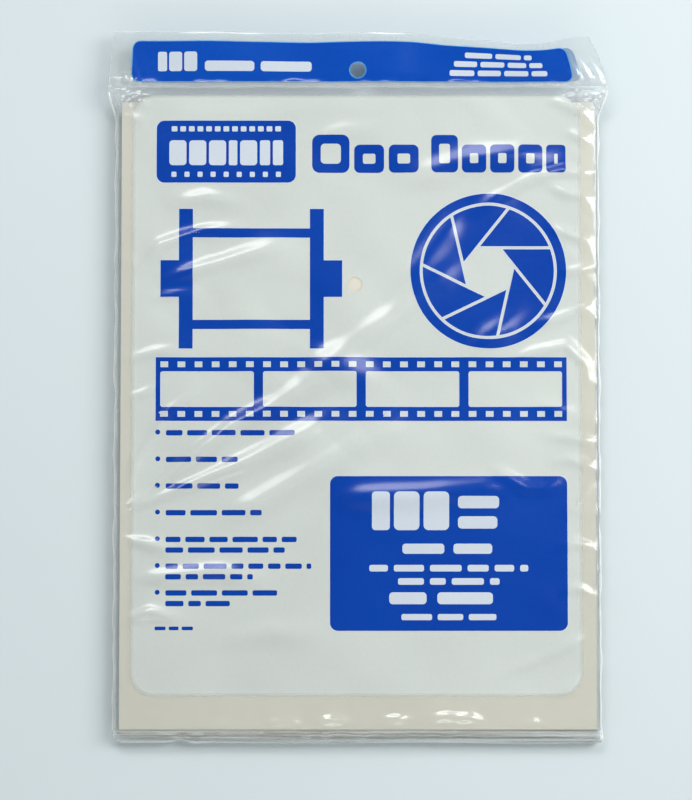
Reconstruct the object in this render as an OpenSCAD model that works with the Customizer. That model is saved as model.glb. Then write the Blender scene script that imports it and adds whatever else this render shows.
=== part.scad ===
// Header bag of storage pages for roll-film negatives.
// The pack lies on its back: X is across the pages, Y runs along them towards the header, Z is the thickness.
// The origin is at the middle of the footprint, on the surface that the pack lies on.

/* [Pages] */
// Width of a page, across the binding strip
page_w = 215.9; // [160:0.1:300]
// Height of a page, along the binding strip
page_h = 285.75; // [240:0.05:360]
// Number of pages in the pack
page_count = 100; // [40:1:120]
// Thickness of one ply of a page
ply_t = 0.04; // [0.03:0.01:0.08]
// Air inside an empty pocket
pocket_gap = 0.01; // [0.01:0.01:0.03]
// Air between one page and the next
page_gap = 0.01; // [0.01:0.01:0.02]
// Air under the front page, which lies loose on the stack
front_page_air = 0.1; // [0.1:0.01:0.3]
// How far the front page stands up from the back page
fan = 4; // [0:0.5:5]
// Width of the binding strip
bind_w = 22.6; // [18:0.1:30]
// Height of the writing strip along the top
label_h = 24; // [15:0.5:30]
// Number of pockets down a page
pocket_rows = 4; // [2:1:6]
// Width of a welded line
pocket_weld_w = 1.6; // [1:0.1:3]
// How far the pocket ply stops short of the page's open edge
pocket_lip = 4; // [2:0.5:8]
// Diameter of a binder hole
binder_hole_d = 8; // [5:0.1:9]
// Distance of the binder holes from the page's edge
binder_hole_in = 10.5; // [8:0.1:12]
// Distance from one binder hole to the next
binder_pitch = 108; // [70:0.5:115]

/* [Bag] */
// Thickness of the bag's film
film_t = 0.1; // [0.06:0.01:0.15]
// Air between the pages and the bag's side
side_air = 0.3; // [0.2:0.05:1]
// Air between the pages and the bag's bottom
end_air = 0.5; // [0.3:0.05:2]
// Air under the back page
back_air = 0.05; // [0.03:0.01:0.2]
// Air over the front page
front_air = 0.35; // [0.3:0.01:0.6]
// How much wider the flat bag is than a page, on each side
bag_ease = 6.35; // [5:0.05:12]
// How far a side weld stands out from the front panel's edge, with the bag full
flare = 2.8; // [2:0.1:4]
// How far the bottom fold stands out from the edges of the panels
fold_out = 3.8; // [3:0.1:5]
// Radius at which the film turns over the edge of the pages
edge_r = 1.2; // [0.6:0.1:2]
// Radius of the front panel's bottom corners
corner_r = 2.5; // [1.5:0.1:2.8]
// Radius of the tip of a bottom corner
ear_r = 1.2; // [0.8:0.1:2]
// Radius of a side weld's bead
weld_r = 0.3; // [0.2:0.01:0.4]
// Gap between a film's edge and the bead that it ends in
weld_gap = 0.005; // [0.003:0.001:0.02]
// Length of film between the front page's top edge and the header seal
shoulder_l = 7; // [6:0.5:12]
// Length over which the side weld rises to the header
rise_l = 16; // [10:0.5:30]
// How far the back film's lip ends below the header seal
lip_short = 2; // [1.5:0.5:5]
// Diameter of the vent hole
vent_d = 7; // [4:0.5:10]
// Distance of the vent hole from the middle, across
vent_x = -1.4; // [-40:0.1:40]
// Height of the vent hole above the front page's bottom edge
vent_y = 201.8; // [150:0.1:220]

/* [Header] */
// Height of the header above its seal
header_h = 25.5; // [24:0.5:40]
// Air between the header's two plies
header_gap = 0.1; // [0.06:0.01:0.15]
// Radius of the header seal's bead
seal_r = 0.3; // [0.28:0.01:0.35]
// Clearance between the seal's bead and the film on each side of it
seal_gap = 0.02; // [0.01:0.01:0.04]
// Distance of the header's side welds above the seal
header_weld_up = 1.5; // [1.5:0.1:3]
// Diameter of the hang hole
hang_d = 8; // [5:0.5:10]
// Height of the hang hole above the seal
hang_y = 7.8; // [7.5:0.1:10]
// Width of the colour band
band_w = 202; // [100:1:205]
// Height of the colour band
band_h = 18.4; // [12:0.1:20]
// Height of the band's lower edge above the seal
band_y = 2.6; // [2:0.1:3]
// Radius of the band's corners
band_r = 3.6; // [1:0.1:5]
// How far the front ply's band is printed to the left of the bag's middle
band_left = 2.5; // [0:0.5:5]
// How far the back ply's band is printed to the right of the front ply's
band_off = 4; // [0:0.5:5]

/* [Print] */
// Thickness of a layer of ink
ink_t = 0.012; // [0.01:0.001:0.02]
// Margin of the white panel at the pages' left edge
panel_left = 4.6; // [2:0.1:20]
// Margin of the white panel at the pages' right edge
panel_right = 6; // [2:0.1:20]
// Margin of the white panel above the front page's bottom edge
panel_foot = 14.6; // [6:0.1:30]
// How far the white panel runs past the front page's top edge
panel_over = 3.6; // [0:0.1:4]
// Radius of the white panel's corners
panel_r = 11; // [3:0.5:20]
// Margin of the blue prints inside the white panel, at the left
print_left = 11.4; // [6:0.1:20]
// Margin of the blue prints inside the white panel, at the right
print_right = 7; // [5:0.1:20]
// Width of the blue information block
block_w = 107.6; // [60:0.1:110]
// Height of the blue information block
block_h = 70; // [40:0.1:75]
// Height of the blue block above the front page's bottom edge
block_y = 44.4; // [30:0.1:45]
// Width of the blue plate
plate_w = 63.6; // [40:0.1:70]
// Height of the blue plate
plate_h = 28.6; // [20:0.1:30]
// Height of the blue plate above the front page's bottom edge
plate_y = 248.6; // [248:0.1:250]
// Radius of the corners of the block and the plate
print_r = 3.6; // [1:0.1:5]
// Width of a drawn line
stroke_w = 4.2; // [2:0.1:5]
// Height of the artwork above the front page's bottom edge
art_y = 139.5; // [139:0.1:141]
// Space between the drawn strip and what is drawn above it
art_gap = 4; // [3:0.5:5]
// Height of the drawn strip of film
strip_h = 29; // [24:0.5:30]
// Number of frames on the drawn strip
strip_frames = 4; // [2:1:6]
// Outer radius of the drawn aperture
iris_r = 35.5; // [28:0.5:36]
// Number of the drawn aperture's blades
iris_blades = 7; // [5:1:9]
// Width of the drawn spool of film
spool_w = 66; // [40:0.5:68]
// Height of the drawn spool's flanges
spool_h = 64; // [40:0.5:72]
// Distance of the drawn spool from the drawn strip's left end
spool_in = 2; // [1:0.5:4]
// Number of marks in the list
mark_count = 7; // [3:1:7]
// Height of the list's lowest mark above the front page's bottom edge
mark_y = 61.8; // [50:0.1:62]
// Distance from one mark to the next
mark_pitch = 12.1; // [8:0.1:12.1]
// Diameter of a mark
mark_d = 2.2; // [1:0.1:4]

/* [Hidden] */
page_groups = 9;
$fn = 48;

clear_film = [0.80, 0.86, 0.88, 0.35];
page_film = [0.86, 0.86, 0.80];
ink_white = [0.90, 0.92, 0.91];
ink_blue = [0.02, 0.20, 0.62];

// Thickness: page, stack of pages and bag
page_t = 2 * ply_t + pocket_gap;
page_pitch = page_t + page_gap;
stack_z = film_t + back_air;
front_page_z = stack_z + (page_count - 1) * page_pitch - page_gap + front_page_air;
// Heights of the middle of the back film, of the front film, and of the side welds between them
back_z = film_t / 2;
front_z = front_page_z + page_t + front_air + film_t / 2;
weld_z = (back_z + front_z) / 2;

// Places across and along the bag; fold_tip is how far the bottom fold stands out from the back panel
edge_x = page_w / 2 + side_air;
bag_x = page_w / 2 + bag_ease;
fold_tip = fold_out - fan / 2 + film_t / 2 / sin(turn(flare, front_z - weld_z));
length = fold_tip + end_air + fan + page_h + shoulder_l + header_h;
foot_y = fold_tip - length / 2;
front_y = foot_y + end_air + fan;
seam_y = front_y + page_h + shoulder_l;
top_y = seam_y + header_h;
rise_y = seam_y - rise_l;
lip_y = seam_y - lip_short;
seal_y = seam_y - seal_r - seal_gap;

// The film's edge over the pages, at a height: the bottom leans with the fanned pages
function foot(z) = foot_y + fan * (z - back_z) / (front_z - back_z);
function mix(a, b, share) = a + (b - a) * share;
function ease(u) = u * u * (3 - 2 * u);

// ---- Film as a thin sheet over a grid of [point, normal] ----

function quad(a, b, c, d) = [[a, b, c], [a, c, d]];

module film(grid) {
    rows = len(grid);
    cols = len(grid[0]);
    function outer(i, j) = i * cols + j;
    function inner(i, j) = rows * cols + i * cols + j;
    points = [
        for (side = [1, -1]) for (row = grid) for (cell = row) cell[0] + cell[1] * side * film_t / 2
    ];
    skins = [
        for (i = [0:rows - 2]) for (j = [0:cols - 2]) each concat(
            quad(outer(i, j), outer(i + 1, j), outer(i + 1, j + 1), outer(i, j + 1)),
            quad(inner(i, j), inner(i, j + 1), inner(i + 1, j + 1), inner(i + 1, j))
        )
    ];
    sides = [
        for (i = [0:rows - 2]) each concat(
            quad(outer(i + 1, 0), outer(i, 0), inner(i, 0), inner(i + 1, 0)),
            quad(outer(i, cols - 1), outer(i + 1, cols - 1), inner(i + 1, cols - 1), inner(i, cols - 1))
        )
    ];
    ends = [
        for (j = [0:cols - 2]) each concat(
            quad(outer(0, j), outer(0, j + 1), inner(0, j + 1), inner(0, j)),
            quad(outer(rows - 1, j + 1), outer(rows - 1, j), inner(rows - 1, j), inner(rows - 1, j + 1))
        )
    ];
    polyhedron(points, concat(skins, sides, ends));
}

// ---- How the film hangs over the edge of the pages ----
// It turns with edge_r from level and then runs straight to a point `out` away and `drop` below.
// A step of the profile is [distance out, drop, the normal's part out, the normal's part up].

profile_steps = 8;
profile_bias = 1.6;

function turn(out, drop) = atan2(drop - edge_r, out) + asin(edge_r / norm([out, drop - edge_r]));
function arc_length(out, drop) = edge_r * turn(out, drop) * PI / 180;
function drape_length(out, drop) =
    let (a = turn(out, drop))
    arc_length(out, drop) + norm([out - edge_r * sin(a), drop - edge_r + edge_r * cos(a)]);
function drape_at(out, drop, s) =
    let (
        a = turn(out, drop),
        arc = arc_length(out, drop),
        t = s < arc ? s / edge_r * 180 / PI : a,
        rest = s < arc ? 0 : s - arc
    )
    [edge_r * sin(t) + rest * cos(t), edge_r - edge_r * cos(t) + rest * sin(t), sin(t), cos(t)];
function drape(out, drop, cut) =
    let (l = drape_length(out, drop))
    [
        for (k = [0:profile_steps])
        drape_at(out, drop, k < profile_steps ? l * pow(k / profile_steps, profile_bias) : l - cut)
    ];
function reversed(list) = [for (k = [len(list) - 1:-1:0]) list[k]];

// The same profile as [out, height, normal], seen from the front film or from the back film
function front_steps(out, rim_z, cut) =
    [for (p = drape(out, front_z - rim_z, cut)) [p[0], front_z - p[1], p[2], p[3]]];
function back_steps(out, rim_z, cut) =
    reversed([for (p = drape(out, rim_z - back_z, cut)) [p[0], back_z + p[1], p[2], -p[3]]]);

// Round the bottom nothing is welded: front and back run into each other at the fold, with a mitre
function fold_steps() =
    let (
        front = front_steps(flare, weld_z, 0),
        back = back_steps(flare, weld_z, 0),
        rim = [flare, weld_z, 1 / sin(turn(flare, front_z - weld_z)), 0]
    )
    concat([for (k = [0:profile_steps - 1]) front[k]], [rim], [for (k = [1:profile_steps]) back[k]]);

// A point of the right bottom corner: angle 0 is at the bottom wall, 90 at the side wall
function corner_cell(angle, p) =
    let (
        share = p[0] / flare,
        x = mix(
            edge_x - corner_r + corner_r * sin(angle),
            edge_x + flare - ear_r + ear_r * sin(angle),
            share
        ),
        y = foot(p[1]) + mix(
            corner_r - corner_r * cos(angle),
            ear_r - fold_out - ear_r * cos(angle),
            share
        )
    )
    [[x, y, p[1]], [p[2] * sin(angle), -p[2] * cos(angle), p[3]]];
function mirrored(cell) = [[-cell[0][0], cell[0][1], cell[0][2]], [-cell[1][0], cell[1][1], cell[1][2]]];
function side_cell(y, p) = [[edge_x + p[0], y, p[1]], [p[2], 0, p[3]]];

corner_steps = 8;
corner_angles = [for (k = [0:corner_steps]) 90 * k / corner_steps];
weld_cut = weld_r + weld_gap;

// The side weld's way from the full bag up to the flat header; u runs from 0 to 1
rise_steps = 8;
function rise_out(u) = mix(flare, bag_x - edge_x, ease(u));
function rise_z(u) = mix(weld_z, front_z, ease(u));
function rise_at(y) = (y - rise_y) / rise_l;
function rise_rows(end_y) = [for (k = [0:rise_steps]) mix(rise_y, end_y, k / rise_steps)];

// ---- Bag ----

// The panel's outline between its two bottom corners, with the bottom edge at y
module panel_outline(y, top) {
    corner = [
        for (a = corner_angles) [edge_x - corner_r + corner_r * sin(a), y + corner_r - corner_r * cos(a)]
    ];
    polygon(concat(
        corner,
        [[edge_x, top], [-edge_x, top]],
        reversed([for (p = corner) [-p[0], p[1]]])
    ));
}

module vent_hole() {
    translate([vent_x, front_y + vent_y, front_z - film_t])
        cylinder(h = 2 * film_t + 3 * ink_t, d = vent_d);
}

module front_panel() {
    color(clear_film)
    difference() {
        translate([0, 0, front_z - film_t / 2])
            linear_extrude(film_t)
                panel_outline(foot(front_z), seal_y);
        vent_hole();
    }
}

module back_panel() {
    color(clear_film)
        linear_extrude(film_t)
            panel_outline(foot(back_z), lip_y);
}

module bottom_wall() {
    row = [for (p = fold_steps()) corner_cell(0, p)];
    color(clear_film)
        film([[for (cell = row) mirrored(cell)], row]);
}

module bottom_corner() {
    color(clear_film)
        film([for (a = corner_angles) [for (p = fold_steps()) corner_cell(a, p)]]);
}

module side_wall(steps) {
    color(clear_film)
        film([[for (p = steps) corner_cell(90, p)], [for (p = steps) side_cell(rise_y, p)]]);
}

module wall_front() {
    side_wall(front_steps(flare, weld_z, weld_cut));
}

module wall_back() {
    side_wall(back_steps(flare, weld_z, weld_cut));
}

module shoulder() {
    color(clear_film)
        film([
            for (y = rise_rows(seal_y)) let (u = rise_at(y))
            [for (p = front_steps(rise_out(u), rise_z(u), weld_cut)) side_cell(y, p)]
        ]);
}

module mouth_corner() {
    color(clear_film)
        film([
            for (y = rise_rows(lip_y)) let (u = rise_at(y))
            [for (p = back_steps(rise_out(u), rise_z(u), weld_cut)) side_cell(y, p)]
        ]);
}

// A straight bead up the side, and a second one that rises to the header
module side_weld() {
    bead_sides = 8;
    start_y = foot(weld_z) - fold_out + ear_r
        + weld_cut / flare * (corner_r + fold_out - ear_r) + weld_gap;
    rows = rise_rows(seal_y);
    points = [
        for (y = rows) for (k = [0:bead_sides - 1]) let (u = rise_at(y), a = 360 * k / bead_sides)
        [edge_x + rise_out(u) + weld_r * cos(a), y, rise_z(u) + weld_r * sin(a)]
    ];
    walls = [
        for (i = [0:rise_steps - 1]) for (k = [0:bead_sides - 1])
        let (n = (k + 1) % bead_sides, i0 = i * bead_sides, i1 = i0 + bead_sides)
        each quad(i0 + k, i0 + n, i1 + n, i1 + k)
    ];
    last = rise_steps * bead_sides;
    ends = [
        [for (k = [bead_sides - 1:-1:0]) k],
        [for (k = [0:bead_sides - 1]) last + k]
    ];
    color(clear_film) {
        translate([edge_x + flare, start_y, weld_z])
            rotate([-90, 0, 0])
                cylinder(h = rise_y - start_y, r = weld_r);
        polyhedron(points, concat(walls, ends));
    }
}

module header_seal() {
    color(clear_film)
        translate([-bag_x, seam_y, front_z])
            rotate([0, 90, 0])
                cylinder(h = 2 * bag_x, r = seal_r);
}

// ---- Header ----

header_x = bag_x - weld_cut;
header_y = seam_y + seal_r + seal_gap;
fold_r = film_t + header_gap / 2;
header_mid_z = front_z - (film_t + header_gap) / 2;
back_ply_z = front_z - film_t - header_gap;

module hang_hole() {
    translate([0, seam_y + hang_y, back_ply_z - film_t])
        cylinder(h = front_z - back_ply_z + 2 * film_t, d = hang_d);
}

module header_ply(z) {
    color(clear_film)
    difference() {
        translate([-header_x, header_y, z - film_t / 2])
            cube([2 * header_x, top_y - fold_r - header_y, film_t]);
        hang_hole();
    }
}

module header_top_fold() {
    color(clear_film)
        translate([-header_x, top_y - fold_r, header_mid_z])
            rotate([0, 90, 0])
                rotate([0, 0, 90])
                    linear_extrude(2 * header_x)
                        difference() {
                            circle(r = fold_r);
                            circle(r = header_gap / 2);
                            translate([-2 * fold_r, -2 * fold_r])
                                square([2 * fold_r, 4 * fold_r]);
                        }
}

module header_weld() {
    color(clear_film)
        translate([bag_x, seam_y + header_weld_up, header_mid_z])
            rotate([-90, 0, 0])
                cylinder(h = header_h - header_weld_up - fold_r, r = weld_r);
}

module colour_band(x, z) {
    color(ink_blue)
    difference() {
        translate([x, seam_y + band_y + band_h / 2, z])
            linear_extrude(ink_t)
                rounded(band_w, band_h, band_r);
        hang_hole();
    }
}

// ---- Print ----

panel_w = page_w - panel_left - panel_right;
panel_x = (panel_left - panel_right) / 2;
panel_h = page_h - panel_foot + panel_over;
print_z = front_z + film_t / 2;
print_x0 = -page_w / 2 + panel_left + print_left;
print_x1 = page_w / 2 - panel_right - print_right;

module rounded(w, h, r) {
    steps = 8;
    polygon([
        for (q = [0:3]) for (k = [0:steps])
        let (
            a = 90 * q + 90 * k / steps,
            sx = (q == 0 || q == 3) ? 1 : -1,
            sy = q < 2 ? 1 : -1
        )
        [sx * (w / 2 - r) + r * cos(a), sy * (h / 2 - r) + r * sin(a)]
    ]);
}

// Ink on top of the white panel, drawn from the front page's bottom edge
module blue_ink() {
    color(ink_blue)
    difference() {
        translate([0, front_y, print_z + ink_t])
            linear_extrude(ink_t)
                children();
        vent_hole();
    }
}

module white_panel() {
    color(ink_white)
    difference() {
        translate([panel_x, front_y + panel_foot + panel_h / 2, print_z])
            linear_extrude(ink_t)
                rounded(panel_w, panel_h, panel_r);
        vent_hole();
    }
}

module blue_block() {
    blue_ink()
        translate([print_x1 - block_w / 2, block_y + block_h / 2])
            rounded(block_w, block_h, print_r);
}

module blue_plate() {
    blue_ink()
        translate([print_x0 + plate_w / 2, plate_y + plate_h / 2])
            rounded(plate_w, plate_h, print_r);
}

// A closed aperture: a ring, and blades that leave a regular opening, with a bare line between neighbours
module aperture_print() {
    blade_a = 360 / iris_blades;
    line_w = stroke_w / 3;
    opening = iris_r * 0.3;
    blades_r = iris_r - stroke_w - line_w;
    blue_ink()
        translate([print_x1 - iris_r, art_y + strip_h + art_gap + iris_r]) {
            difference() {
                circle(r = iris_r);
                circle(r = iris_r - stroke_w);
            }
            for (k = [0:iris_blades - 1])
                rotate(k * blade_a)
                    intersection() {
                        circle(r = blades_r);
                        translate([-2 * iris_r, opening + line_w / 2])
                            square([4 * iris_r, iris_r]);
                        rotate(blade_a)
                            translate([-2 * iris_r, opening - line_w / 2 - 3 * iris_r])
                                square([4 * iris_r, 3 * iris_r]);
                    }
        }
}

// A spool of roll film from the side: two flanges, the roll between them, and its core's ends
module spool_print() {
    flange_w = stroke_w * 1.5;
    roll_h = spool_h * 0.72;
    core_w = stroke_w * 2;
    blue_ink()
        translate([print_x0 + spool_in + core_w, art_y + strip_h + art_gap]) {
            for (x = [0, spool_w - flange_w])
                translate([x, 0])
                    square([flange_w, spool_h]);
            translate([0, (spool_h - roll_h) / 2])
                difference() {
                    square([spool_w, roll_h]);
                    translate([0, stroke_w])
                        square([spool_w, roll_h - 2 * stroke_w]);
                }
            for (x = [-core_w, spool_w])
                translate([x, spool_h / 2 - core_w])
                    square([core_w, 2 * core_w]);
        }
}

// A strip of film: a band with frames and a row of perforations along each edge
module strip_print() {
    strip_w = print_x1 - print_x0;
    frame_h = strip_h * 0.56;
    frame_pitch = strip_w / strip_frames;
    hole_pitch = strip_w / (strip_frames * 6);
    blue_ink()
        translate([print_x0, art_y])
            difference() {
                square([strip_w, strip_h]);
                for (k = [0:strip_frames - 1])
                    translate([(k + 0.5) * frame_pitch, strip_h / 2])
                        rounded(frame_pitch - stroke_w, frame_h, stroke_w / 4);
                for (k = [0:strip_frames * 6 - 1])
                    for (y = [strip_h * 0.11, strip_h * 0.89])
                        translate([(k + 0.5) * hole_pitch, y])
                            square([hole_pitch * 0.45, strip_h * 0.09], center = true);
            }
}

module list_marks() {
    blue_ink()
        for (k = [0:mark_count - 1])
            translate([print_x0 + mark_d / 2, mark_y + k * mark_pitch])
                circle(d = mark_d);
}

// ---- Pages ----

pocket_h = (page_h - label_h - pocket_weld_w) / pocket_rows;
function page_z(i) = stack_z + i * page_pitch;
function page_y(i) = foot_y + end_air + fan * i / (page_count - 1);

module at_page(i) {
    translate([-page_w / 2, page_y(i), page_z(i)])
        children();
}

module binder_holes() {
    for (k = [-1:1])
        translate([binder_hole_in, page_h / 2 + k * binder_pitch, -ply_t])
            cylinder(h = page_t + 2 * ply_t, d = binder_hole_d);
}

// The room inside the pockets: each runs from the binding strip's weld out through the open edge
module pocket_room(extra) {
    for (k = [0:pocket_rows - 1])
        translate([bind_w + pocket_weld_w, pocket_weld_w + k * pocket_h, ply_t])
            cube([page_w, pocket_h - pocket_weld_w, pocket_gap + extra]);
}

module page() {
    difference() {
        cube([page_w, page_h, page_t]);
        pocket_room(0);
        translate([page_w - pocket_lip, -ply_t, ply_t])
            cube([pocket_lip + ply_t, page_h + 2 * ply_t, page_t]);
        binder_holes();
    }
}

module page_group(g) {
    back_pages = page_count - 1;
    first = floor((g - 1) * back_pages / page_groups);
    last = floor(g * back_pages / page_groups) - 1;
    color(page_film)
        for (i = [first:last])
            at_page(i)
                page();
}

module at_front_page() {
    translate([-page_w / 2, front_y, front_page_z])
        children();
}

// The backing ply, and the binding strip, where both plies are welded into one
module front_page_backing() {
    color(page_film)
        at_front_page()
            difference() {
                union() {
                    cube([page_w, page_h, ply_t]);
                    cube([bind_w, page_h, page_t]);
                }
                binder_holes();
            }
}

// The pocket ply with the welded lines that stand on the backing
module front_page_pockets() {
    color(page_film)
        at_front_page()
            difference() {
                translate([bind_w, 0, ply_t])
                    cube([page_w - bind_w - pocket_lip, page_h, ply_t + pocket_gap]);
                pocket_room(0);
            }
}

module front_page_label() {
    margin = 3;
    color(ink_white)
        at_front_page()
            translate([bind_w, page_h - label_h + margin, page_t])
                cube([page_w - bind_w - pocket_lip - margin, label_h - 2 * margin, ink_t]);
}

module left() {
    mirror([1, 0, 0])
        children();
}

front_panel();
back_panel();
bottom_wall();
left() bottom_corner();  // bottom_corner_left
bottom_corner();  // bottom_corner_right
left() wall_front();  // wall_front_left
wall_front();  // wall_front_right
left() wall_back();  // wall_back_left
wall_back();  // wall_back_right
left() shoulder();  // shoulder_left
shoulder();  // shoulder_right
left() mouth_corner();  // mouth_corner_left
mouth_corner();  // mouth_corner_right
left() side_weld();  // side_weld_left
side_weld();  // side_weld_right
header_seal();
header_ply(front_z);  // header_front_ply
header_ply(back_ply_z);  // header_back_ply
header_top_fold();
left() header_weld();  // header_weld_left
header_weld();  // header_weld_right
colour_band(-band_left, print_z);  // front_band
colour_band(band_off - band_left, back_ply_z - film_t / 2 - ink_t);  // back_band
white_panel();
blue_block();
blue_plate();
aperture_print();
spool_print();
strip_print();
list_marks();
front_page_backing();
front_page_pockets();
front_page_label();
for (g = [1:page_groups])
    page_group(g);
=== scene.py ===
"""Looks of a clear header bag that holds a stack of storage pages for negatives.

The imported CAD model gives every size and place. The bag's films, its welds and its prints are new pieces
that follow one wrinkled surface, and the pages keep their CAD solids with a finish of their own.
"""

import math

import bpy
import numpy as np
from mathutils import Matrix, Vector


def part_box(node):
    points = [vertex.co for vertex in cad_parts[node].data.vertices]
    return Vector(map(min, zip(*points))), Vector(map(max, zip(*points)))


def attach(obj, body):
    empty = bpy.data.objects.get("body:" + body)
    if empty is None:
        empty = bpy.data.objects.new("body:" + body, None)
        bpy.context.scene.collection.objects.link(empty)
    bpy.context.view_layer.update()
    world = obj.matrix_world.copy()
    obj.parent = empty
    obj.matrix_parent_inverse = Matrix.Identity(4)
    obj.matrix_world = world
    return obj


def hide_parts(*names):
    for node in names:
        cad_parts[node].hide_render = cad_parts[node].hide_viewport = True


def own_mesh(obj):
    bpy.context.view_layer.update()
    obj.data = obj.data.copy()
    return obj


bl_info = {
    "name": "Header bag of storage pages",
    "version": (1, 0, 0),
    "blender": (4, 5, 0),
    "location": "View3D > Sidebar > Header Bag",
    "description": "Dresses the packed model of a header bag with wrinkled film, welds and print",
    "category": "Object",
}

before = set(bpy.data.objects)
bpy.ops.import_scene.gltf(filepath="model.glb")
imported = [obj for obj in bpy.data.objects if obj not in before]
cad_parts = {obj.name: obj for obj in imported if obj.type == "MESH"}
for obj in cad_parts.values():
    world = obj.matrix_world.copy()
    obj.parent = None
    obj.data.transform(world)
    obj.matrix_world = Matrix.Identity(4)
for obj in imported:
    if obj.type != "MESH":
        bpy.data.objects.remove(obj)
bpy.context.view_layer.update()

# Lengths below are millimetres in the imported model's frame, and this turns them into Blender's metres
MM = 0.001


def corners(node):
    """The lowest and highest corner of a CAD node, in millimetres."""
    low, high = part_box(node)
    return low / MM, high / MM


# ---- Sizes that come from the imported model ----

panel_low, panel_high = corners("front_panel")
back_low, back_high = corners("back_panel")
seal_low, seal_high = corners("header_seal")
ply_low, ply_high = corners("header_front_ply")
white_low, white_high = corners("white_panel")
block_low, block_high = corners("blue_block")
plate_low, plate_high = corners("blue_plate")
marks_low, marks_high = corners("list_marks")
band_low, band_high = corners("front_band")

# Thickness of the film and of a coat of ink
FILM = panel_high.z - panel_low.z
INK = white_high.z - white_low.z
# Half the width of the front panel, and of the whole bag at the seam
EDGE_X = panel_high.x
BAG_X = seal_high.x
# Heights of the middle of the front film, of the back film and of the side welds, and the drop to the welds
FRONT_Z = panel_high.z - FILM / 2
BACK_Z = back_low.z + FILM / 2
WELD_Z = (FRONT_Z + BACK_Z) / 2
DROP = FRONT_Z - WELD_Z
# Lowest and highest lines of the front panel and of the back panel
FRONT_FOOT = panel_low.y
SEAL_Y = panel_high.y
BACK_FOOT = back_low.y
LIP_Y = back_high.y
# The seam on which the header folds, and where the bag starts to widen towards it
SEAM_Y = (seal_low.y + seal_high.y) / 2
RISE_Y = corners("shoulder_right")[0].y
# How far a side weld and the bottom fold stand out from the panel
FLARE = corners("wall_front_right")[1].x - EDGE_X + 0.3
FOLD_OUT = (FRONT_FOOT + BACK_FOOT) / 2 - corners("bottom_wall")[0].y - FILM / 2
# The header's foot, the top of its flat plies, the top of its fold and the step from ply to ply
HEADER_Y = ply_low.y
HEADER_TOP_Y = ply_high.y
TOP_Y = corners("header_top_fold")[1].y
PLY_GAP = ply_low.z - corners("header_back_ply")[0].z
# Corner radius of the white panel, and the punched holes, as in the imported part
WHITE_R = 11.0
VENT = Vector((-1.4, corners("front_page_backing")[0].y + 201.8))
VENT_R = 3.5
HANG = Vector((0.0, SEAM_Y + 7.8))
HANG_R = 4.0

# ---- Shape of the film ----

# Radius at which the film turns over the edge of the pages
EDGE_R = 1.2
# Radius of the bag's outline at the bottom corners, left and right
CORNER_R = (5.5, 1.0)
# Side of a square of the film's mesh, and of the back film's, which lies flat
CELL = 1.35
BACK_CELL = 3.5
# Rows of mesh down a draped side of the front film and of the back film
FRONT_STEPS = 8
BACK_STEPS = 6
# How strong the puckers are along the left, the right and the bottom edge
PUCKER_LEFT, PUCKER_RIGHT, PUCKER_FOOT = 0.6, 0.5, 0.8
# Widths of the calm borders of the film's swells, from the sides, the foot and the seal
CALM_SIDE, CALM_FOOT, CALM_SEAL = 20, 14, 12

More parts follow.
